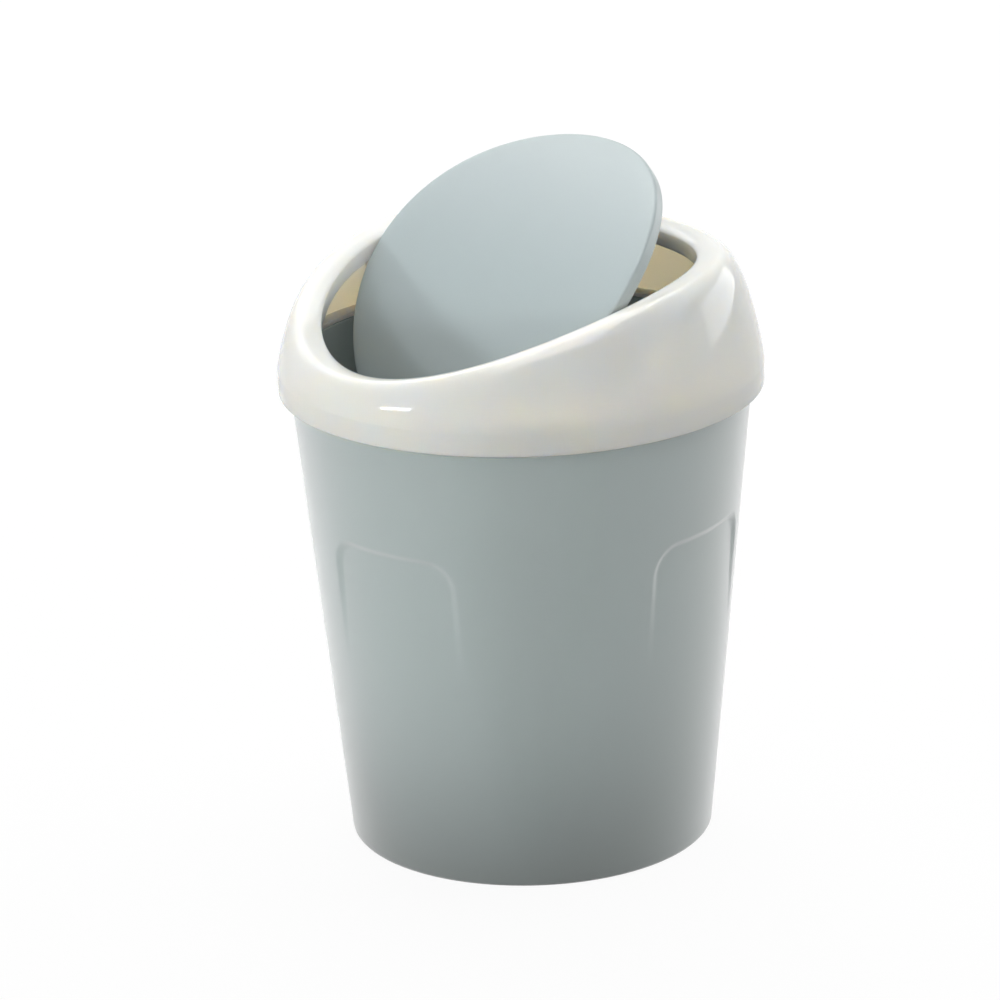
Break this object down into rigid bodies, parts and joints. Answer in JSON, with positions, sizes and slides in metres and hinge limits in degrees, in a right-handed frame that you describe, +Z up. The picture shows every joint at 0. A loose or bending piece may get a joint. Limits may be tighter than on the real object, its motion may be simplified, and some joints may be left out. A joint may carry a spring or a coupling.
{
  "type": "countertop trash can with swing lid",
  "caption": "Small table-top bin: a tapered bucket with arched grip recesses, a domed lift-off lid ring and a bent flap that swings on stubs in the ring.",
  "frame": {"origin": "on the bucket's axis, at the height of the foot", "axes": "+Z up along the bucket's axis, -Y to the front, where the opening is lower, X along the flap's pivot"},
  "size_m": [0.1388, 0.1388, 0.1995],
  "materials": {
    "bucket": "satin moulded, pale grey-green",
    "lid_ring": "smooth moulded, warm white",
    "swing_flap": "satin moulded, pale grey-blue"
  },
  "bodies": {
    "bucket": {"bucket": "bucket"},
    "lid": {"lid_ring": "lid_ring"},
    "flap": {"swing_flap": "swing_flap"}
  },
  "joints": [
    {"name": "lid_lift", "type": "slide", "parent": "bucket", "child": "lid", "axis": [0, 0, 1], "range_m": [0, 0.06]},
    {"name": "flap_swing", "type": "hinge", "parent": "lid", "child": "flap", "pos_m": [0, -0.0079, 0.16104], "axis": [1, 0, 0], "range_deg": [-36.4, 38]}
  ]
}
